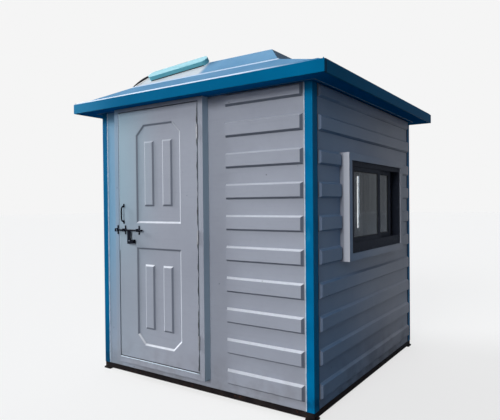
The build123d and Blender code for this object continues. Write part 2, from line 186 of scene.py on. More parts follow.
def makeGelCoat(name, reflectionTint):
    # Grey moulded skin: soft mottling, faint level brush marks, splash dirt and pinholes, and tones by place:
    # a painted bluish reflection towards the front's left end, painted shade on bevels turned right or down,
    # painted slate shade on the ribs by the near post, painted blue shade towards the window wall's near end,
    # painted light on jambs that face right, painted highlights on the surround's end and on bevels turned
    # left, and painted highlights with some chalk dust on ledges
    g, amount = gelCoat, gelCoat["amount"]
    f = Finish(name)
    mottle = f.noise(1.7, 4.0)
    fine = f.noise(38.0, 3.0)
    brushed = f.noise(1.0, 3.0, f.stretched(3.0, 3.0, 60.0))
    colour = f.mix(mottle.between(0.35, 0.75) * amount["mottle"], g["colour"], g["worn"])
    colour = f.mix(fine.between(0.45, 0.8) * amount["fine"], colour, g["worn"])
    colour = f.mix(brushed.between(0.5, 0.75) * amount["brushed"], colour, g["worn"])
    front = (f.faceY * -1.0).clamped()
    side = f.faceX.clamped()
    bevel = front.between(0.1, 0.4)
    proud = f.x.between(*g["proudX"])
    # painted bluish reflection towards the front's left end, stronger higher up
    reflectionMask = f.x.between(*reflectionTint["x"]) * (0.25 + f.z.between(*reflectionTint["z"]) * 0.75)
    colour = f.mix(reflectionMask * front * amount["reflection"], colour, reflectionTint["tone"])
    # painted shade on bevels turned right and on faces turned down, weaker on the side wall
    turned = f.faceX.between(0.2, 0.6) * bevel * (1.0 - f.faceZ.between(0.05, 0.3))
    turned = turned + (f.faceZ * -1.0).between(0.25, 0.6)
    turned = turned.clamped() * (1.0 - proud * 0.75)
    colour = f.mix(turned * amount["turned"], colour, g["turned"])
    # painted slate shade on the side wall's rib ends near the front post
    nearPost = proud * f.y.between(*g["nearPostY"]) * (1.0 - side.between(0.6, 0.9))
    colour = f.mix(nearPost * amount["nearPostShade"], colour, g["nearPostShade"])
    # painted light on the window surround's front end, which the cabin's corner shades
    surroundEndLight = f.x.between(*g["surroundX"]) * f.y.between(*g["surroundY"]) * front.between(0.7, 0.95)
    colour = f.mix(surroundEndLight * amount["surroundEndLight"], colour, g["highlightAndChalk"])
    nearEnd = f.y.between(*g["shadeY"]) * f.x.between(*g["windowWallX"]) * (1.0 - front.between(0.3, 0.8))
    colour = f.mix(nearEnd * amount["shade"], colour, g["shade"])
    # painted light on the front's faces turned right, such as the jamb's side
    jamb = side.between(0.6, 0.9) * f.x.between(*g["jambX"]) * front.between(0.4, 0.0)
    colour = f.mix(jamb * amount["jamb"], colour, g["jamb"])
    # painted highlights with some chalk dust on ledges, weaker high up under the eave, and painted highlights
    # on bevels turned left
    lower = (0.25 + f.z.between(*g["ledgeHighlightZ"]) * 0.55) * (0.05 + front.between(0.1, 0.45) * 0.95)
    ledgeHighlight = f.faceZ.between(0.2, 0.55) * (0.7 + fine * 0.5) * lower
    leftwardHighlight = (f.faceX * -1.0).between(0.2, 0.5) * bevel * 0.6
    colour = f.mix((ledgeHighlight + leftwardHighlight).clamped(), colour, g["highlightAndChalk"])
    splash = (1.0 - f.z.between(*g["splashZ"])) * f.noise(9.0, 5.0).between(0.38, 0.7)
    colour = f.mix(splash * amount["splash"], colour, g["dirt"])
    pinholes = (1.0 - f.spots(7.5).between(0.022, 0.042)) * f.noise(3.1, 1.0).between(0.46, 0.52)
    colour = f.mix(pinholes * amount["pinholes"], colour, g["speck"])
    roughness = 0.42 + mottle.between(0.3, 0.8) * 0.1 + splash * 0.25
    waves = f.bump(f.noise(4.2, 1.0), 0.0035, f.roundedEdges(g["edgeRadius"]))
    skin = f.bump(f.noise(420.0, 2.0), 0.00012, waves)
    return f.shade({"Base Color": colour, "Roughness": roughness.clamped(), "Normal": skin,
                    "Specular IOR Level": g["specular"]})


# The blue skin: a tint for each part, tones, how strongly they lie on, and between which places they come in
blueCoat = {
    "post": {"deep": tone("006c9f"), "faded": tone("0080b0"), "rough": 0.42, "specular": 0.03},
    "roof": {"deep": tone("00608c"), "faded": tone("0074a4"), "rough": 0.4, "specular": 0.01},
    # the soffit's tint is lighter than the roof's: painted light in the shade under the eave
    "soffit": {"deep": tone("0068ac"), "faded": tone("0072b4"), "rough": 0.6, "specular": 0.0},
    "dust": tone("9cc2e2"), "scuff": tone("2a93bc"), "grime": tone("0c2438"), "pale": tone("3f97c4"),
    "greyWhite": tone("d3d7da"), "edge": tone("dfeeff"), "grooveShadow": tone("0b3552"), "shaded": tone("08243c"),
    "amount": {"patches": 0.35, "pale": 0.45, "scuffs": 0.22, "grime": 0.5, "dust": 0.75, "slope": 0.75,
               "grooveShadow": 0.8, "lap": 0.7},
    "edgeRadius": 0.0035, "paleX": (-0.45, -1.1), "leftPostX": (-0.8, -0.86), "leftPostZ": (0.5, 0.1),
    "grimeZ": (0.05, 0.22), "crownZ": (2.172, 2.18), "patchX": (0.03, -0.03), "troughStart": (0.0105, 0.0125),
    "troughEnd": (0.024, 0.034), "rimEnd": (0.009, 0.011), "rimZ": (2.0535, 2.0565), "rimX": (1.04, 0.4),
    "lapStart": (2.166, 2.169), "lapEnd": (2.177, 2.178),
}


def makeBlueCoat(name, tint, onTop):
    # Blue gloss skin: fading in patches, fine scuffs, grime low down, and painted shade on the left posts.
    # The roof instead has a painted sheen towards its left end, dust with painted sky reflection on faces
    # turned up, painted shade on slopes that look right, a grey-white patch on the crown, painted shadow in
    # the front fascia's groove, and painted highlights on the rolled edge and lap
    b, amount = blueCoat, blueCoat["amount"]
    f = Finish(name)
    front = f.faceY * -1.0
    colour = f.mix(f.noise(2.3, 3.0).between(0.4, 0.8) * amount["patches"], tint["deep"], tint["faded"])
    if onTop:
        # painted sheen: the roof's front faces turn paler towards its left end
        colour = f.mix(f.x.between(*b["paleX"]) * front.clamped() * amount["pale"], colour, b["pale"])
    else:
        leftPost = f.x.between(*b["leftPostX"]) * front.between(0.1, 0.5)
        colour = f.mix(leftPost * (0.25 + f.z.between(*b["leftPostZ"]) * 0.35), colour, b["shaded"])
    scuffs = f.noise(1.0, 4.0, f.stretched(30.0, 30.0, 6.0)).between(0.64, 0.74)
    colour = f.mix(scuffs * amount["scuffs"], colour, b["scuff"])
    low = (1.0 - f.z.between(*b["grimeZ"])) * f.noise(14.0, 4.0).between(0.4, 0.65)
    colour = f.mix(low * amount["grime"], colour, b["grime"])
    roughness = tint["rough"] + scuffs * 0.18 + low * 0.2
    if onTop:
        behindFascia = f.y + cadBox[1].y
        crown = f.z.between(*b["crownZ"])
        up = f.faceZ.between(0.35, 0.8)
        # dust together with painted sky reflection on faces turned up, more on the crown
        film = up * (0.24 + crown * 0.14 + f.noise(5.0, 5.0) * 0.45)
        colour = f.mix(film.clamped() * amount["dust"], colour, b["dust"])
        colour = f.mix(f.faceX.between(0.2, 0.6) * up * amount["slope"], colour, b["shaded"])
        # a grey-white patch on the crown's front face, left of the middle
        patch = f.x.between(*b["patchX"]) * crown * front.between(0.3, 0.5)
        colour = f.mix(patch * (0.65 + f.noise(9.0, 4.0) * 0.4), colour, b["greyWhite"])
        # painted shadow in the groove behind the front fascia's rolled edge
        trough = behindFascia.between(*b["troughStart"]) * (1.0 - behindFascia.between(*b["troughEnd"]))
        colour = f.mix(trough * amount["grooveShadow"], colour, b["grooveShadow"])
        # painted highlights on the front fascia's rolled edge and on the crown's lap line
        rim = 1.0 - behindFascia.between(*b["rimEnd"])
        rim = rim * f.z.between(*b["rimZ"]) * f.x.between(*b["rimX"])
        lap = f.z.between(*b["lapStart"]) * (1.0 - f.z.between(*b["lapEnd"])) * front.between(0.2, 0.4)
        paleMarks = (rim + lap * amount["lap"]).clamped() * (0.7 + f.noise(3.0, 3.0) * 0.5)
        colour = f.mix(paleMarks, colour, b["edge"])
        roughness = roughness + up * 0.12
    waves = f.bump(f.noise(5.0, 1.0), 0.003, f.roundedEdges(b["edgeRadius"]))
    skin = f.bump(f.noise(380.0, 2.0), 0.0001, waves)
    return f.shade({"Base Color": colour, "Roughness": roughness.clamped(), "Normal": skin,
                    "Specular IOR Level": tint["specular"]})


baseSteel = {"paint": tone("171315"), "dust": tone("362f2c"), "rust": tone("4a2a1c"), "specular": 0.08}


def makeBaseSteel():
    # Black enamel that has weathered: dust on it, rust where it chipped, a pitted surface
    f = Finish("steelBlackEnamel")
    dusty = f.noise(11.0, 5.0).between(0.42, 0.72)
    chips = f.noise(46.0, 4.0).between(0.6, 0.68) * f.noise(6.0, 2.0).between(0.45, 0.6)
    colour = f.mix(dusty * 0.4, baseSteel["paint"], baseSteel["dust"])
    colour = f.mix(chips, colour, baseSteel["rust"])
    pits = f.bump(f.noise(150.0, 4.0), 0.0008, f.roundedEdges(0.002))
    return f.shade({"Base Color": colour, "Roughness": (0.55 + dusty * 0.25 + chips * 0.2).clamped(),
                    "Normal": pits, "Specular IOR Level": baseSteel["specular"]})


floorBoard = {"film": tone("5b4030"), "light": tone("7c5c44"), "dust": tone("8d8377")}


def makeFloorBoard():
    # Film-faced plywood: long grain that telegraphs through the brown film, with trodden dust
    f = Finish("plywoodFilmFaced")
    grain = f.noise(1.0, 6.0, f.stretched(60.0, 3.0, 60.0))
    colour = f.mix(grain.between(0.35, 0.7), floorBoard["film"], floorBoard["light"])
    colour = f.mix(f.noise(4.0, 5.0).between(0.5, 0.75) * 0.5, colour, floorBoard["dust"])
    return f.shade({"Base Color": colour, "Roughness": 0.5 + grain * 0.15,
                    "Normal": f.bump(grain, 0.0004, f.roundedEdges(0.0015))})


slabLook = {"face": tone("9fd2de"), "deep": tone("69b2c0"), "grime": tone("4f8e98"), "specular": 0.2}


def makeSlab():
    # Pale turquoise slab: painted light, paler where it faces up and deeper on its sides; streaked along its
    # length, a rubbed matt surface
    f = Finish("slabTurquoise")
    along = f.noise(1.0, 3.0, f.stretched(3.0, 30.0, 30.0))
    colour = f.mix(f.faceZ.between(-0.2, 0.75), slabLook["deep"], slabLook["face"])
    colour = f.mix(along.between(0.5, 0.75) * 0.35, colour, slabLook["deep"])
    colour = f.mix(f.noise(22.0, 4.0).between(0.55, 0.8) * 0.3, colour, slabLook["grime"])
    return f.shade({"Base Color": colour, "Roughness": 0.5 + along * 0.15,
                    "Normal": f.bump(along, 0.0012, f.roundedEdges(0.006)),
                    "Specular IOR Level": slabLook["specular"]})


metalLooks = {
    "blackHardware": {"colour": tone("0a0e1a"), "worn": tone("20263a"), "metal": 0.0, "rough": 0.42,
                      "grain": 260.0, "specular": 0.06},
    "hingeSteel": {"colour": tone("9b9da0"), "worn": tone("6e6a64"), "metal": 0.85, "rough": 0.4,
                   "grain": 200.0, "specular": 0.2},
    "windowDark": {"colour": tone("232834"), "worn": tone("323846"), "metal": 0.0, "rough": 0.5,
                   "grain": 320.0, "specular": 0.06},
    "screwBlack": {"colour": tone("16181f"), "worn": tone("3a3c44"), "metal": 0.4, "rough": 0.4,
                   "grain": 300.0, "specular": 0.2},
}


def makeMetal(name):
    # Coated metal: a grainy coat, rubbed lighter in patches
    look = metalLooks[name]
    f = Finish(name)
    paleMarks = f.noise(34.0, 5.0).between(0.52, 0.74)
    grain = f.noise(look["grain"], 2.0)
    colour = f.mix(paleMarks * 0.6, look["colour"], look["worn"])
    return f.shade({"Base Color": colour, "Metallic": look["metal"],
                    "Roughness": (look["rough"] + grain * 0.12 - paleMarks * 0.08).clamped(),
                    "Normal": f.bump(grain, 0.00012, f.roundedEdges(0.001)),
                    "Specular IOR Level": look["specular"]})


glassLook = {"shade": tone("343b40"), "light": tone("747b78"), "cold": tone("40566c"), "coldZ": (1.32, 1.03),
             "film": 0.62, "specular": 0.35}


def makeGlass():
    # Tinted sheet glass: what lies behind shows dimly through soft upright streaks of reflected light, and it
    # looks colder low down
    f = Finish("glassTinted")
    streaks = f.noise(1.0, 3.0, f.stretched(9.0, 13.0, 0.5))
    smears = f.noise(16.0, 4.0).between(0.5, 0.8)
    colour = f.mix(streaks.between(0.38, 0.66), glassLook["shade"], glassLook["light"])
    colour = f.mix(smears * 0.15, colour, glassLook["light"])
    cold = f.z.between(*glassLook["coldZ"]) * f.noise(1.0, 2.0, f.stretched(9.0, 9.0, 2.0))
    colour = f.mix(cold, colour, glassLook["cold"])
    return f.shade({"Base Color": colour, "Roughness": 0.06 + smears * 0.1,
                    "Alpha": glassLook["film"] + streaks * 0.12,
                    "Specular IOR Level": glassLook["specular"]})


softLooks = {
    "sealGrey": {"colour": tone("d3e2ee"), "other": tone("b3c6d6"), "rough": 0.5, "grain": 60.0},
    "sealNavy": {"colour": tone("16324c"), "other": tone("1d3c58"), "rough": 0.5, "grain": 60.0},
    # black rubber, also used for the dark strips that are painted shadow under the slab, the leaf and the
    # latch gap
    "blackRubberAndShadow": {"colour": tone("101113"), "other": tone("1f2022"), "rough": 0.62, "grain": 90.0},
    "edgeTeal": {"colour": tone("0f5a80"), "other": tone("0a4a70"), "rough": 0.5, "grain": 60.0},
}


def makeSeal(name):
    # Sealant, rubber or moulding of one colour, patched with a second one, with a fine uneven surface
    look = softLooks[name]
    f = Finish(name)
    patches = f.noise(look["grain"], 4.0)
    colour = f.mix(patches.between(0.4, 0.7), look["colour"], look["other"])
    return f.shade({"Base Color": colour, "Roughness": (look["rough"] + patches * 0.15).clamped(),
                    "Normal": f.bump(patches, 0.0004)})


tubeLook = {"glass": tone("f4f6f6"), "glow": tone("f4f8fa"), "rough": 0.35, "strength": 6.5}


def makeTubeGlow():
    f = Finish("tubeWhite")
    return f.shade({"Base Color": tubeLook["glass"], "Roughness": tubeLook["rough"],
                    "Emission Color": tubeLook["glow"], "Emission Strength": tubeLook["strength"]})


looks = {
    "wall_grey": makeGelCoat("gelCoatGreyWall", paintedReflectionTints["wall"]),
    "door_grey": makeGelCoat("gelCoatGreyDoor", paintedReflectionTints["door"]),
    "trim_blue": makeBlueCoat("gelCoatBluePost", blueCoat["post"], False),
    "roof_blue": makeBlueCoat("gelCoatBlueRoof", blueCoat["roof"], True),
    "soffit_blue": makeBlueCoat("gelCoatBlueSoffit", blueCoat["soffit"], False),
    "base_steel": makeBaseSteel(),
    "floor_board": makeFloorBoard(),
    "slab_turquoise": makeSlab(),
    "black_hardware": makeMetal("blackHardware"),
    "hinge_steel": makeMetal("hingeSteel"),
    "window_dark": makeMetal("windowDark"),
    "window_glass": makeGlass(),
}
extra = {name: makeSeal(name) for name in softLooks}
extra["screwBlack"] = makeMetal("screwBlack")
extra["tubeWhite"] = makeTubeGlow()
for part in frame["record"]["subparts"]:
    nodes[part["node"]].data.materials.clear()
    nodes[part["node"]].data.materials.append(looks[part["material_slot"]])
print("finishes on every node")


def addPiece(name, body, look, points, faces):
    # a mesh piece from an array of points and a list of faces, riding on a body
    mesh = bpy.data.meshes.new(name)
    mesh.from_pydata(points.reshape(-1, 3).tolist(), [], faces)
    mesh.update()
    mesh.materials.append(look)
    piece = bpy.data.objects.new(name, mesh)
    bpy.context.scene.collection.objects.link(piece)
    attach(piece, body)
    return piece


def gridFaces(rows, columns, wrapRows, wrapColumns, start=0, flip=False):
    # quads over a grid of points; a wrapped direction joins its last line to its first
    i, j = np.meshgrid(np.arange(rows if wrapRows else rows - 1),
                       np.arange(columns if wrapColumns else columns - 1), indexing="ij")
    i2, j2 = (i + 1) % rows, (j + 1) % columns
    corners = [i * columns + j, i2 * columns + j, i2 * columns + j2, i * columns + j2]
    quads = np.stack(corners, -1).reshape(-1, 4)
    return (quads[:, ::-1] if flip else quads) + start


def outlineRun(corners, profile, toWorld):
    # A profile carried round a polygon: at each corner the offset is inset * (n1 + n2) / (1 + n1 . n2), where
    # n1 and n2 are the unit normals of the two sides that meet there, turned inwards, so corners are mitred
    corners = np.array(corners, float)
    inset, lift = np.array(profile, float).T
    before = corners - np.roll(corners, 1, 0)
    before /= np.linalg.norm(before, axis=1)[:, None]
    normal = np.stack([-before[:, 1], before[:, 0]], -1)
    after = np.roll(normal, -1, 0)
    mitre = (normal + after) / (1 + (normal * after).sum(1))[:, None]
    at = corners[:, None] + inset[None, :, None] * mitre[:, None]
    return toWorld(at[..., 0], at[..., 1], np.broadcast_to(lift, at.shape[:2]))


def rectangle(low, high):
    return [(low[0], low[1]), (high[0], low[1]), (high[0], high[1]), (low[0], high[1])]


def smoothed(piece):
    piece.data.polygons.foreach_set("use_smooth", [True] * len(piece.data.polygons))
    return piece


class Mesh:
    # points and faces of one piece, gathered grid by grid
    def __init__(self):
        self.points, self.faces, self.count = [], [], 0

    def grid(self, points, wrapRows=False, wrapColumns=False, flip=False):
        rows, columns = points.shape[:2]
        self.points.append(points.reshape(-1, 3))
        self.faces += gridFaces(rows, columns, wrapRows, wrapColumns, self.count, flip).tolist()
        self.count += rows * columns

    def block(self, low, high):
        # a box between two opposite corners
        corners = np.stack(np.meshgrid(*zip(low, high), indexing="ij"), -1).reshape(-1, 3)
        sides = [(0, 1, 3, 2), (4, 6, 7, 5), (0, 4, 5, 1), (2, 3, 7, 6), (0, 2, 6, 4), (1, 5, 7, 3)]
        self.points.append(corners)
        self.faces += [[self.count + k for k in side] for side in sides]
        self.count += len(corners)

    def tube(self, path, radius, sides):
        # circles of the given radii set square to the path; both ends close on their own middle
        path = np.array(path, float)
        along = np.gradient(path, axis=0)
        along /= np.linalg.norm(along, axis=1)[:, None]
        side = np.cross(along, (0.21, 0.35, 0.91))
        side /= np.linalg.norm(side, axis=1)[:, None]
        other = np.cross(along, side)
        turn = np.arange(sides) * 2 * math.pi / sides
        ring = np.cos(turn)[None, :, None] * side[:, None] + np.sin(turn)[None, :, None] * other[:, None]
        points = path[:, None] + np.broadcast_to(radius, len(path))[:, None, None] * ring
        ends = [np.broadcast_to(path[k], (1, sides, 3)) for k in (0, -1)]
        self.grid(np.concatenate([ends[0], points, ends[1]]), wrapColumns=True)

    def piece(self, name, body, slotName, look):
        return addPiece(name, body, look, np.vstack(self.points), self.faces)


def roundProfile(width, height, steps):
    # half an ellipse: width / 2 * (1 - cos a) across and height * sin a up, for a from 0 to half a turn
    angle = np.linspace(0, math.pi, steps)
    return np.stack([width / 2 * (1 - np.cos(angle)), height * np.sin(angle)], -1)


# Sealant run into the corners between walls and posts: pale on the front and back walls, navy on the others
sealant = {"width": 0.007, "height": 0.0055, "steps": 7, "rows": 60, "foot": 0.05, "endGap": 0.002,
           "inset": 0.005, "waviness": 0.12, "waves": 23, "shift": 9}


def sealantBeads():
    # a rounded bead up each corner, whose size swells as 1 + waviness * sin(waves * z + shift * x)
    s = sealant
    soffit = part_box("roof_deck")[0].z
    heights = np.linspace(s["foot"] + s["endGap"], soffit - s["endGap"], s["rows"])
    profile = roundProfile(s["width"], s["height"], s["steps"])
    ends, sides = Mesh(), Mesh()
    for signX in (-1, 1):
        for signY in (-1, 1):
            low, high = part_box("corner_post_%s_%s" % ("front" if signY < 0 else "back",
                                                      "left" if signX < 0 else "right"))
            innerX, outerX = (high.x, low.x) if signX < 0 else (low.x, high.x)
            innerY, outerY = (high.y, low.y) if signY < 0 else (low.y, high.y)
            swell = 1 + s["waviness"] * np.sin(heights * s["waves"] + innerX * s["shift"])[:, None]
            across, lift = profile[:, 0][None] * swell, profile[:, 1][None] * swell
            z = np.broadcast_to(heights[:, None], across.shape)
            y = outerY - signY * s["inset"] + signY * lift
            ends.grid(np.stack([innerX - signX * across, y, z], -1), flip=signX * signY > 0)
            x = outerX - signX * s["inset"] + signX * lift
            sides.grid(np.stack([x, innerY - signY * across, z], -1), flip=signX * signY < 0)
    ends.piece("postSealantEnds", "root", "wall_grey", extra["sealGrey"])
    sides.piece("postSealantSides", "root", "wall_grey", extra["sealNavy"])


sealantBeads()

# Black wedge gaskets that hold each pane in its sash, on both faces
gasket = {"width": 0.006, "height": 0.003, "steps": 6}


def paneGaskets():
    profile = roundProfile(gasket["width"], gasket["height"], gasket["steps"])
    for side in ("front", "rear"):
        low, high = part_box("window_glass_" + side)
        mesh = Mesh()
        for face, sign in ((high.x, 1), (low.x, -1)):
            ring = outlineRun(rectangle((low.y, low.z), (high.y, high.z)), profile,
                              lambda u, v, lift: np.stack([face + sign * lift, u, v], -1))
            mesh.grid(ring, wrapRows=True, flip=sign < 0)
        mesh.piece("paneGasket_" + side, "root", "window_dark", extra["blackRubberAndShadow"])


paneGaskets()
print("sealant and gaskets laid")

# A screw's head as rings of (share of its radius, share of its height), from the rim in to the cross recess
screwForm = {"sides": 12, "recess": 0.45,
             "rings": [(1.0, 0.0), (1.0, 0.25), (0.86, 0.72), (0.55, 0.96), (0.32, 0.98), (0.22, 0.5)]}


def screwHeads(places, axis, radius, height):
    # Domed heads in one mesh: rings of changing height around each place, closed by a sunk centre point
    axis = np.array(axis, float)
    side = np.cross(axis, (0.3, 0.5, 0.8))
    side /= np.linalg.norm(side)
    other = np.cross(axis, side)
    rings, sides = np.array(screwForm["rings"]), screwForm["sides"]
    turn = np.arange(sides) * 2 * math.pi / sides
    circle = np.cos(turn)[None, :, None] * side + np.sin(turn)[None, :, None] * other
    head = rings[:, 0, None, None] * radius * circle + rings[:, 1, None, None] * height * axis
    head = np.vstack([head.reshape(-1, 3), axis * height * screwForm["recess"]])
    quads = gridFaces(len(rings), sides, False, True, flip=True)
    last, centre = (len(rings) - 1) * sides, len(rings) * sides
    caps = [[last + k, last + (k + 1) % sides, centre] for k in range(sides)]
    points = (np.array(places)[:, None, :] + head[None]).reshape(-1, 3)
    faces = []
    for shift in range(0, len(points), len(head)):
        faces += (quads + shift).tolist() + [[k + shift for k in cap] for cap in caps]
    return points, faces


# Screws on the hardware's plates and flanges and on the window frame's face: (radius, height), then the
# distances from the edges of what they hold
plateScrews = {"size": (0.0042, 0.0022), "inPlate": 0.009, "guideEdge": 0.007, "plate": 0.003}
pullScrews = {"size": (0.003, 0.0016), "inPlate": 0.0055}
frameScrews = {"size": (0.0042, 0.002), "edge": 0.013, "foot": 0.06, "head": 0.04, "rows": 4}


def fixingScrews():
    low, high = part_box("bolt_guides")
    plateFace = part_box("door_leaf")[0].y - plateScrews["plate"]
    ends = (low.z + plateScrews["inPlate"], high.z - plateScrews["inPlate"])
    edge = plateScrews["guideEdge"]
    places = [(x, plateFace, z) for x in (low.x + edge, high.x - edge) for z in ends]
    points, faces = screwHeads(places, (0, -1, 0), *plateScrews["size"])
    addPiece("guideScrews", "door", extra["screwBlack"], points, faces)
    low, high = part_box("bolt_keeper")
    places = [((low.x + high.x) / 2, high.y - plateScrews["plate"], z) for z in ends]
    points, faces = screwHeads(places, (0, -1, 0), *plateScrews["size"])
    addPiece("keeperScrews", "root", extra["screwBlack"], points, faces)
    low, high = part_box("door_pull")
    ends = (low.z + pullScrews["inPlate"], high.z - pullScrews["inPlate"])
    places = [((low.x + high.x) / 2, plateFace, z) for z in ends]
    points, faces = screwHeads(places, (0, -1, 0), *pullScrews["size"])
    addPiece("pullScrews", "door", extra["screwBlack"], points, faces)
    low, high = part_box("window_frame")
    edge = frameScrews["edge"]
    rows = np.linspace(low.z + frameScrews["foot"], high.z - frameScrews["head"], frameScrews["rows"])
    places = [(high.x, y, z) for y in (low.y + edge, high.y - edge) for z in rows]
    points, faces = screwHeads(places, (1, 0, 0), *frameScrews["size"])
    addPiece("frameScrews", "root", extra["screwBlack"], points, faces)


fixingScrews()
print("screws set")

# Soft moulded edges of the door's sunk panels and raised bars, laid over the solid's sharper bevels. The
# outlines are measured from the leaf's middle (x, z); corner is how far a panel's corners are clipped
softEdge = {"steps": 9, "panelWidth": 0.017, "barWidth": 0.016, "depth": 0.0097, "clear": 0.0002,
            "middle": (-0.287, 1.057), "panelX": (-0.204, 0.228), "panelZ": (0.087, 0.797),
            "corner": (0.076, 0.073), "barX": (-0.076, 0.1), "barHalf": 0.033, "barZ": (0.223, 0.66)}


def doorSoftEdges():
    # depth below the face at t along the bevel: depth * (3 t^2 - 2 t^3)
    e = softEdge
    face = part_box("door_leaf")[0].y
    t = np.linspace(0, 1, e["steps"])
    lift = e["clear"] - e["depth"] * (3 * t ** 2 - 2 * t ** 3)
    panelProfile = np.stack([t * e["panelWidth"], lift], -1)
    barProfile = np.stack([-t * e["barWidth"], lift], -1)

    def onDoor(u, v, raised):
        return np.stack([u, face - raised, v], -1)

    mesh = Mesh()
    x0, x1 = (e["middle"][0] + x for x in e["panelX"])
    cx, cz = e["corner"]
    for way in (1, -1):
        z0, z1 = (e["middle"][1] + way * z for z in e["panelZ"])
        clipped = z1 - way * cz
        outline = [(x0, z0), (x1, z0), (x1, clipped), (x1 - cx, z1), (x0 + cx, z1), (x0, clipped)]
        mesh.grid(outlineRun(outline[::way], panelProfile, onDoor), wrapRows=True)
        barLow, barHigh = sorted(e["middle"][1] + way * z for z in e["barZ"])
        for barX in e["barX"]:
            middle = e["middle"][0] + barX
            outline = rectangle((middle - e["barHalf"], barLow), (middle + e["barHalf"], barHigh))
            mesh.grid(outlineRun(outline, barProfile, onDoor), wrapRows=True, flip=True)
    mesh.piece("doorSoftEdges", "door", "door_grey", looks["door_grey"])


doorSoftEdges()
print("door edges softened")

# Latch side: a strip in the gap beside the leaf, a pale seal above the split; below it the strip is black,
# painted shadow in the gap
latchSealAndShadow = {"gap": 0.006, "back": 0.003, "split": 0.94, "depth": 0.01, "thick": 0.0045, "below": 0.004}
# A black strip under the leaf, painted shadow in the gap: how far it reaches behind the leaf's face and
# below its lower edge, both from and to
sillGapShadow = {"left": 0.006, "right": 0.002, "behind": (0.001, 0.012), "under": (0.0056, 0.0012)}
# Mastic on the hinged edge: its profile is four shares of its width across and of its lift up
mastic = {"width": 0.008, "lift": 0.0006, "rows": 260, "endGap": 0.01, "clear": 0.0001,
          "across": (0.0, 0.3, 0.7, 1.0), "up": (0.1, 1.0, 0.8, 0.05)}
# Rounded drip edge on the sill
dripEdge = {"radius": 0.0032, "below": 0.015, "endGap": 0.004, "points": 24, "sides": 12}


def latchSealsAndShadow(low, high):
    s = latchSealAndShadow
    left, front = low.x - s["gap"], low.y + s["back"]
    for name, foot, head, look in (("latchSealUpper", s["split"], high.z, "sealGrey"),
                                   ("latchGapShadow", low.z - s["below"], s["split"], "blackRubberAndShadow")):
        mesh = Mesh()
        mesh.block((left, front, foot), (left + s["thick"], front + s["depth"], head))
        mesh.piece(name, "root", "door_grey", extra[look])


def sillShadowStrip(low, high):
    s = sillGapShadow
    mesh = Mesh()
    mesh.block((low.x - s["left"], low.y + s["behind"][0], low.z - s["under"][0]),
               (high.x + s["right"], low.y + s["behind"][1], low.z - s["under"][1]))
    mesh.piece("sillGapShadow", "root", "door_grey", extra["blackRubberAndShadow"])


def hingeMastic(low, high):
    # its inner edge wanders as width * (0.75 + 0.35 sin(31 z + 2 sin 7 z) + 0.2 sin 83 z)
    m = mastic
    z = np.linspace(low.z + m["endGap"], high.z - m["endGap"], m["rows"])[:, None]
    wander = m["width"] * (0.75 + 0.35 * np.sin(31 * z + 2 * np.sin(7 * z)) + 0.2 * np.sin(83 * z))
    across = wander * np.array(m["across"])
    y = np.broadcast_to(low.y - (np.array(m["up"]) * m["lift"] + m["clear"]), across.shape)
    mesh = Mesh()
    mesh.grid(np.stack([high.x - across, y, np.broadcast_to(z, across.shape)], -1), flip=True)
    smoothed(mesh.piece("hingeEdgeMastic", "door", "black_hardware", extra["blackRubberAndShadow"]))


def sillDrip(low, high):
    d = dripEdge
    at = high.z - d["below"] - d["radius"]
    path = [(x, low.y, at) for x in np.linspace(low.x + d["endGap"], high.x - d["endGap"], d["points"])]
    mesh = Mesh()
    mesh.tube(path, d["radius"], d["sides"])
    smoothed(mesh.piece("sillDripEdge", "root", "wall_grey", extra["sealGrey"]))


latchSealsAndShadow(*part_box("door_leaf"))
sillShadowStrip(*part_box("door_leaf"))
hingeMastic(*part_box("door_leaf"))
sillDrip(*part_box("door_sill"))
print("door seals laid")

# A thin moulding line round the soffit
soffitLine = {"inset": 0.11, "width": 0.007, "height": 0.0035, "steps": 6}
# A dark strip on the crown's front left hip, bowed off the straight line between its ends
hipStrip = {"start": (-0.645, -0.864, 2.179), "end": (-0.522, -0.741, 2.289), "bow": (-0.006, 0.0, 0.009),
            "radius": 0.0085, "thinEnds": 0.35, "points": 14, "sides": 10}
# A dark strip under the slab's lower long edge, painted shadow. The slab lies on the crown's front slope,
# whose axes are x, upSlope and outOfSlope; middle is (x, rise up the slope), and turn is how far the slab is
# turned, in degrees
slabShadow = {"halfLength": 0.232, "halfWidth": 0.0405, "middle": (-0.262, 0.122), "turn": 10,
              "foot": (-0.858, 2.178), "upSlope": (0, 0.7290, 0.6846), "outOfSlope": (0, -0.6846, 0.7290),
              "lift": 0.001, "radius": 0.0045, "points": 20, "sides": 8}


def soffitMoulding():
    low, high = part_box("roof_deck")
    inset = soffitLine["inset"]
    profile = roundProfile(soffitLine["width"], soffitLine["height"], soffitLine["steps"])
    outline = rectangle((low.x + inset, low.y + inset), (high.x - inset, high.y - inset))
    ring = outlineRun(outline, profile, lambda u, v, lift: np.stack([u, v, low.z - lift], -1))
    mesh = Mesh()
    mesh.grid(ring, wrapRows=True, flip=True)
    mesh.piece("soffitLine", "root", "soffit_blue", extra["edgeTeal"])


def crownStrip():
    # from start to end, plus bow * sin(pi t); the radius swells from its thin ends by sin(pi t) too
    h = hipStrip
    start, end = np.array(h["start"]), np.array(h["end"])
    t = np.linspace(0, 1, h["points"])[:, None]
    arch = np.sin(math.pi * t)
    path = start + (end - start) * t + np.array(h["bow"]) * arch
    mesh = Mesh()
    mesh.tube(path, h["radius"] * (h["thinEnds"] + (1 - h["thinEnds"]) * arch[:, 0]), h["sides"])
    smoothed(mesh.piece("crownHipStrip", "root", "roof_blue", extra["blackRubberAndShadow"]))


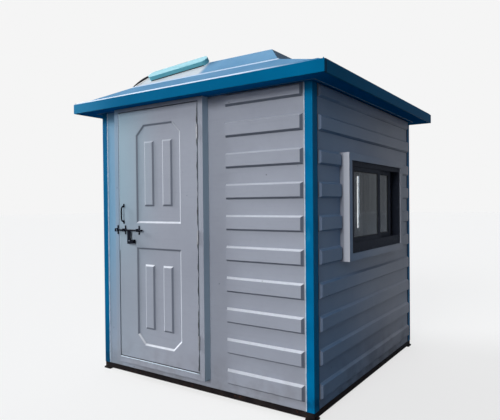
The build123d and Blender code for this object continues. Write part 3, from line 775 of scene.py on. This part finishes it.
def slabShadowLine():
    # the lower edge of a rectangle turned on the slope, a straight line in x and rise
    s = slabShadow
    t = np.linspace(-s["halfLength"], s["halfLength"], s["points"])
    cosine, sine = math.cos(math.radians(s["turn"])), math.sin(math.radians(s["turn"]))
    x = s["middle"][0] + t * cosine + s["halfWidth"] * sine
    rise = s["middle"][1] + t * sine - s["halfWidth"] * cosine
    foot = np.stack([x, np.full_like(x, s["foot"][0]), np.full_like(x, s["foot"][1])], -1)
    path = foot + rise[:, None] * np.array(s["upSlope"]) + np.array(s["outOfSlope"]) * s["lift"]
    mesh = Mesh()
    mesh.tube(path, s["radius"], s["sides"])
    smoothed(mesh.piece("slabShadowStrip", "root", "slab_turquoise", extra["blackRubberAndShadow"]))


soffitMoulding()
crownStrip()
slabShadowLine()
print("roof strips laid")

# Tube light inside on the back wall, seen through the front pane, in a holder with a block at each end
tube = {"x": 0.462, "low": 1.045, "high": 1.522, "radius": 0.0055, "standOff": 0.034, "halfWidth": 0.012,
        "thick": 0.02, "beyond": 0.03, "pastTube": 0.012, "intoBlock": 0.002, "points": 6, "sides": 18}


def tubeLight():
    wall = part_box("back_wall")[0].y
    beyond, middle = tube["beyond"], wall - tube["standOff"]
    left, right = tube["x"] - tube["halfWidth"], tube["x"] + tube["halfWidth"]
    mesh = Mesh()
    mesh.block((left, wall - tube["thick"], tube["low"] - beyond), (right, wall, tube["high"] + beyond))
    for z in (tube["low"] - beyond, tube["high"]):
        mesh.block((left, middle - tube["pastTube"], z), (right, wall - tube["thick"], z + beyond))
    mesh.piece("tubeHolder", "root", "wall_grey", extra["sealGrey"])
    heights = np.linspace(tube["low"] - tube["intoBlock"], tube["high"] + tube["intoBlock"], tube["points"])
    mesh = Mesh()
    mesh.tube([(tube["x"], middle, z) for z in heights], tube["radius"], tube["sides"])
    smoothed(mesh.piece("insideTubeLight", "root", "wall_grey", extra["tubeWhite"]))


tubeLight()
print("tube light hung")

# Floor and background: the colours that plain, mirrored and seen rays find there
studio = {
    "pale": tone("f5f5f5"), "ambient": (0.16, 0.175, 0.2, 1), "mirrored": (0.42, 0.45, 0.5, 1),
    "floorPale": (0.22, 0.22, 0.22, 1), "floorGlow": (0.7, 0.7, 0.7, 1), "floorBounce": (0.12, 0.12, 0.12, 1),
    "floorMirrored": (0.5, 0.53, 0.58, 1), "dark": (0, 0, 0, 1), "floorSize": 60.0, "floorDrop": 0.0005,
}


def makeBackground():
    world = bpy.data.worlds.new("studioWorld")
    bpy.context.scene.world = world
    w = NodeMaker(world)
    colour = w.byRay(studio["ambient"], studio["mirrored"], studio["pale"])
    w.add("ShaderNodeOutputWorld", {}, {0: w.add("ShaderNodeBackground", {}, {0: colour})}, out=None)


def makeFloor():
    # a wide plane under the feet: it glows only for rays that see it, and keeps the cabin's shadow
    paint = bpy.data.materials.new("studioFloorPaint")
    p = NodeMaker(paint)
    colour = p.byRay(studio["floorBounce"], studio["floorMirrored"], studio["floorPale"])
    glow = p.byRay(studio["dark"], studio["dark"], studio["floorGlow"])
    both = p.add("ShaderNodeAddShader", {}, {0: p.add("ShaderNodeBsdfDiffuse", {}, {0: colour}),
                                             1: p.add("ShaderNodeEmission", {}, {0: glow})})
    p.add("ShaderNodeOutputMaterial", {}, {0: both}, out=None)
    size = studio["floorSize"]
    mesh = bpy.data.meshes.new("studioFloor")
    mesh.from_pydata([(x, y, 0) for x, y in rectangle((-size, -size), (size, size))], [], [(0, 1, 2, 3)])
    mesh.materials.append(paint)
    floor = bpy.data.objects.new("studioFloor", mesh)
    floor.location.z = -studio["floorDrop"]
    bpy.context.scene.collection.objects.link(floor)


# Lamps: the way that each shines from, its strength, its width in degrees and its colour
lamps = {
    "key": {"from": (0.03, -0.92, 0.39), "strength": 1.8, "angle": 24, "colour": (1.0, 0.99, 0.97)},
    "side": {"from": (-0.9, -0.16, 0.4), "strength": 3.2, "angle": 24, "colour": (0.97, 0.99, 1.0)},
    "low": {"from": (0.02, -0.99, 0.06), "strength": 0.4, "angle": 16, "colour": (0.98, 0.99, 1.0)},
    "rim": {"from": (-0.3, 0.6, 0.74), "strength": 0.5, "angle": 50, "colour": (0.93, 0.97, 1.0)},
}
lampDistance = 6


def makeLamps():
    for name, form in lamps.items():
        lamp = bpy.data.lights.new(name + "Lamp", "SUN")
        lamp.energy = form["strength"]
        lamp.angle = math.radians(form["angle"])
        lamp.color = form["colour"]
        holder = bpy.data.objects.new(name + "Lamp", lamp)
        direction = Vector(form["from"]).normalized()
        holder.rotation_euler = direction.to_track_quat("Z", "Y").to_euler()
        holder.location = direction * lampDistance
        bpy.context.scene.collection.objects.link(holder)


# Camera, solved from the photograph; angles in degrees
eye = {"place": (2.238, -3.542, 1.280), "lens": 36.0, "sensor": 36.0,
       "yaw": 34.144, "pitch": -0.749, "roll": 0.533}


def makeCamera():
    # the right and up axes are turned about the line of sight by the roll
    yaw, pitch, roll = (math.radians(eye[k]) for k in ("yaw", "pitch", "roll"))
    ahead = Vector((-math.sin(yaw) * math.cos(pitch), math.cos(yaw) * math.cos(pitch), math.sin(pitch)))
    right = Vector((math.cos(yaw), math.sin(yaw), 0))
    up = right.cross(ahead)
    rolledRight = right * math.cos(roll) - up * math.sin(roll)
    rolledUp = right * math.sin(roll) + up * math.cos(roll)
    turn = Matrix((rolledRight, rolledUp, -ahead)).transposed().to_4x4()
    data = bpy.data.cameras.new("photoCamera")
    data.lens, data.sensor_width, data.sensor_fit = eye["lens"], eye["sensor"], "HORIZONTAL"
    camera = bpy.data.objects.new("photoCamera", data)
    camera.matrix_world = Matrix.Translation(eye["place"]) @ turn
    bpy.context.scene.collection.objects.link(camera)
    bpy.context.scene.camera = camera


makeBackground()
makeFloor()
makeLamps()
makeCamera()
bpy.context.scene.view_settings.view_transform = "Standard"
print("studio and camera set")
